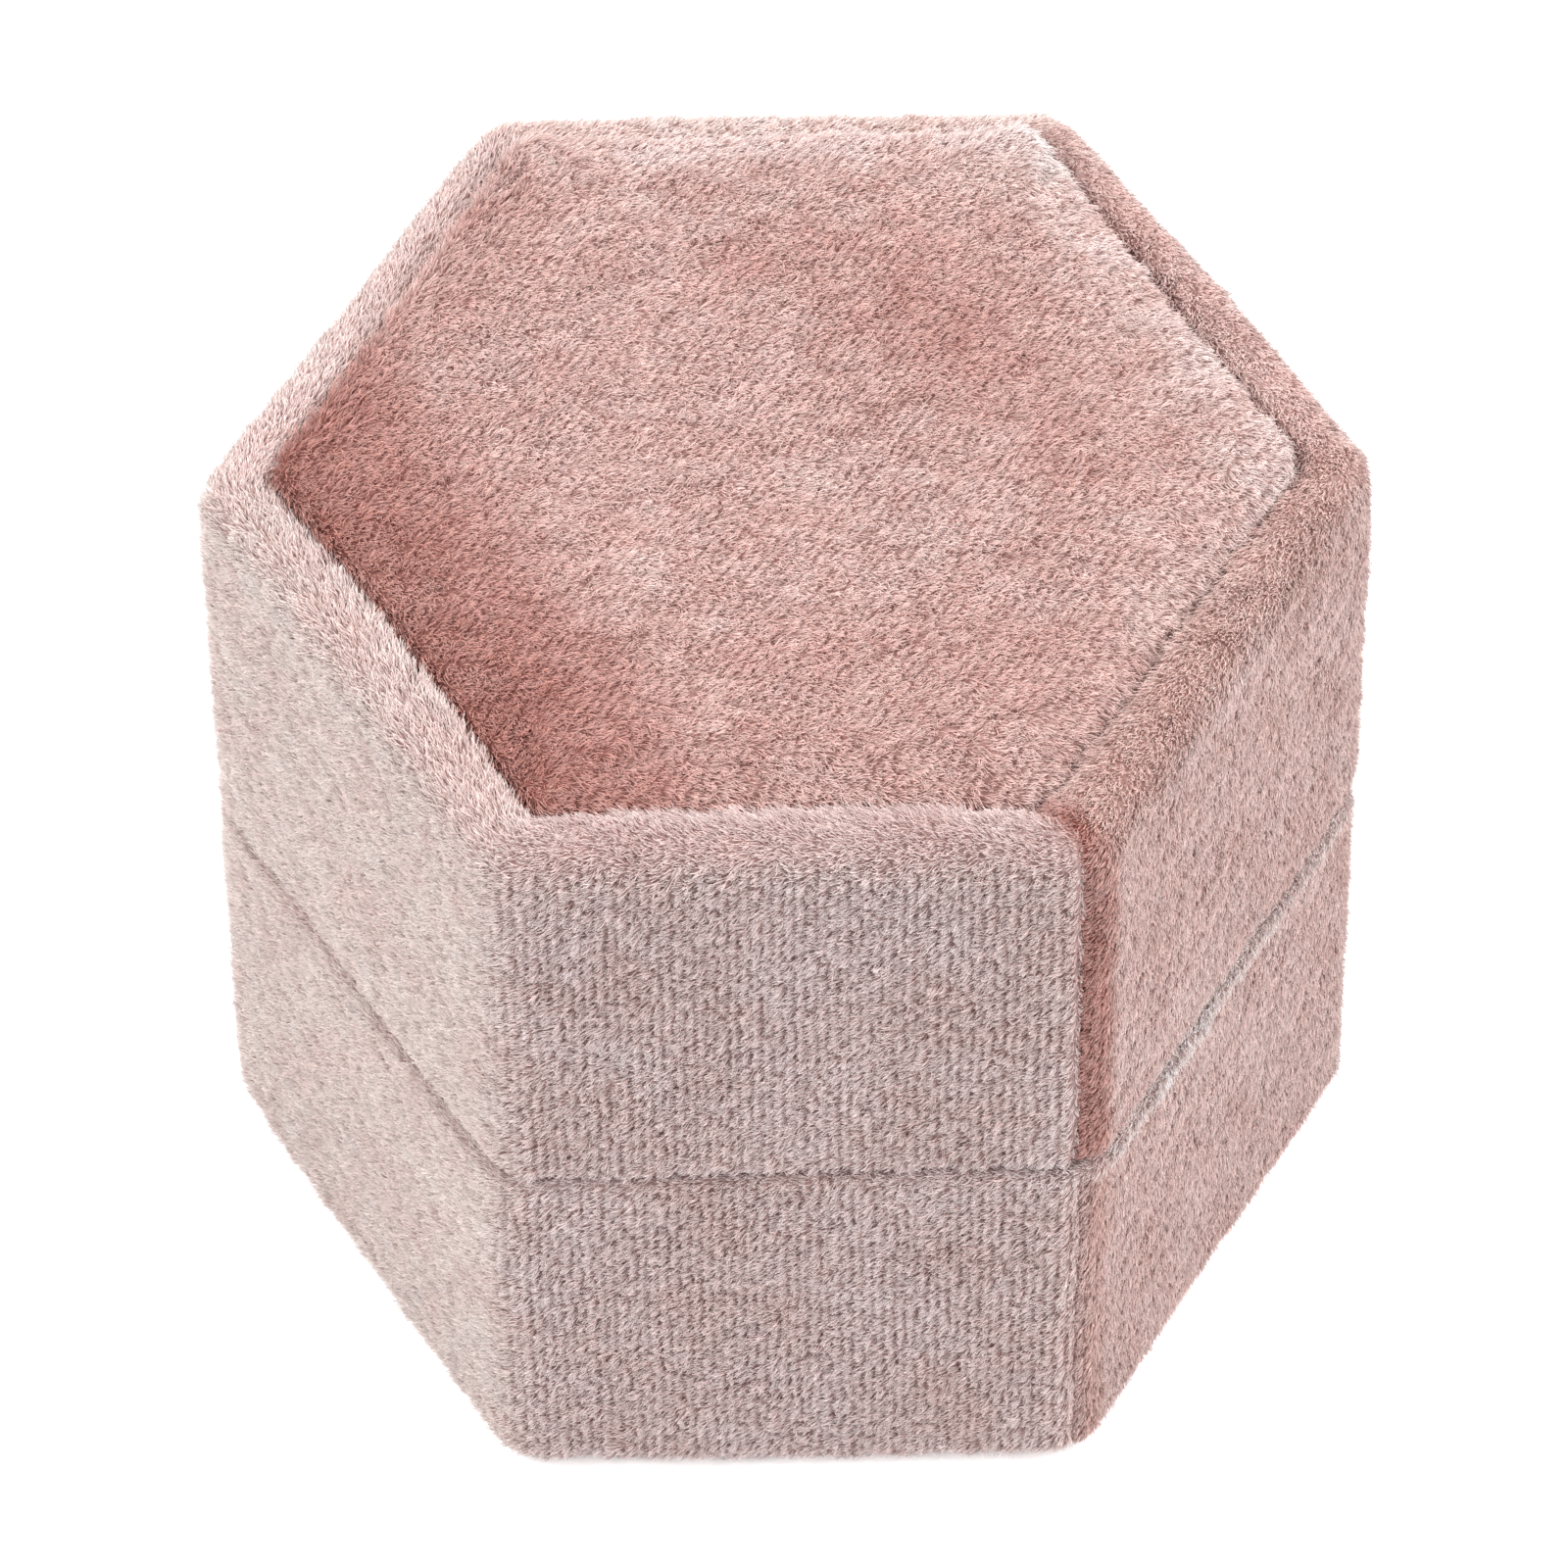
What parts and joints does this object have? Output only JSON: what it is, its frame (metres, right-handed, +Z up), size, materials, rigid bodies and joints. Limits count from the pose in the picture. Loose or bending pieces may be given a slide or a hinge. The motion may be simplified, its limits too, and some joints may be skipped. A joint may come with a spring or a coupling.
{
  "type": "jewelry box",
  "caption": "Small hexagonal velvet ring box with a lift-off lid, a raised rim round a padded top panel, a standing collar and a slotted ring insert.",
  "frame": {"origin": "middle of the underside, on the surface the box stands on", "axes": "+Z up; one flat side faces -Y; two opposite corners lie on the X axis"},
  "size_m": [0.0572, 0.0502, 0.0477],
  "materials": {
    "outer_velvet": "short pile velvet, dusty rose",
    "inner_velvet": "short pile velvet, dusty rose",
    "grey_board": "raw grey board",
    "white_card": "raw white card",
    "bottom_sheet": "flocked paper, matt",
    "foam": "open cell foam"
  },
  "bodies": {
    "base": {"base_bottom_sheet": "bottom_sheet", "base_floor_board": "grey_board", "base_wall_board": "grey_board", "base_outer_velvet": "outer_velvet", "collar_board": "white_card", "collar_velvet": "inner_velvet", "insert_foam": "foam", "insert_velvet": "inner_velvet"},
    "lid": {"lid_wall_board": "grey_board", "lid_deck_board": "grey_board", "lid_outer_velvet": "outer_velvet", "lid_lining_velvet": "inner_velvet", "lid_top_pad_card": "white_card", "lid_top_pad_foam": "foam", "lid_top_pad_velvet": "outer_velvet", "lid_ceiling_card": "white_card", "lid_ceiling_foam": "foam", "lid_ceiling_velvet": "inner_velvet"}
  },
  "joints": [
    {"name": "lid_lift", "type": "slide", "parent": "base", "child": "lid", "axis": [0, 0, 1], "range_m": [0, 0.04]}
  ]
}
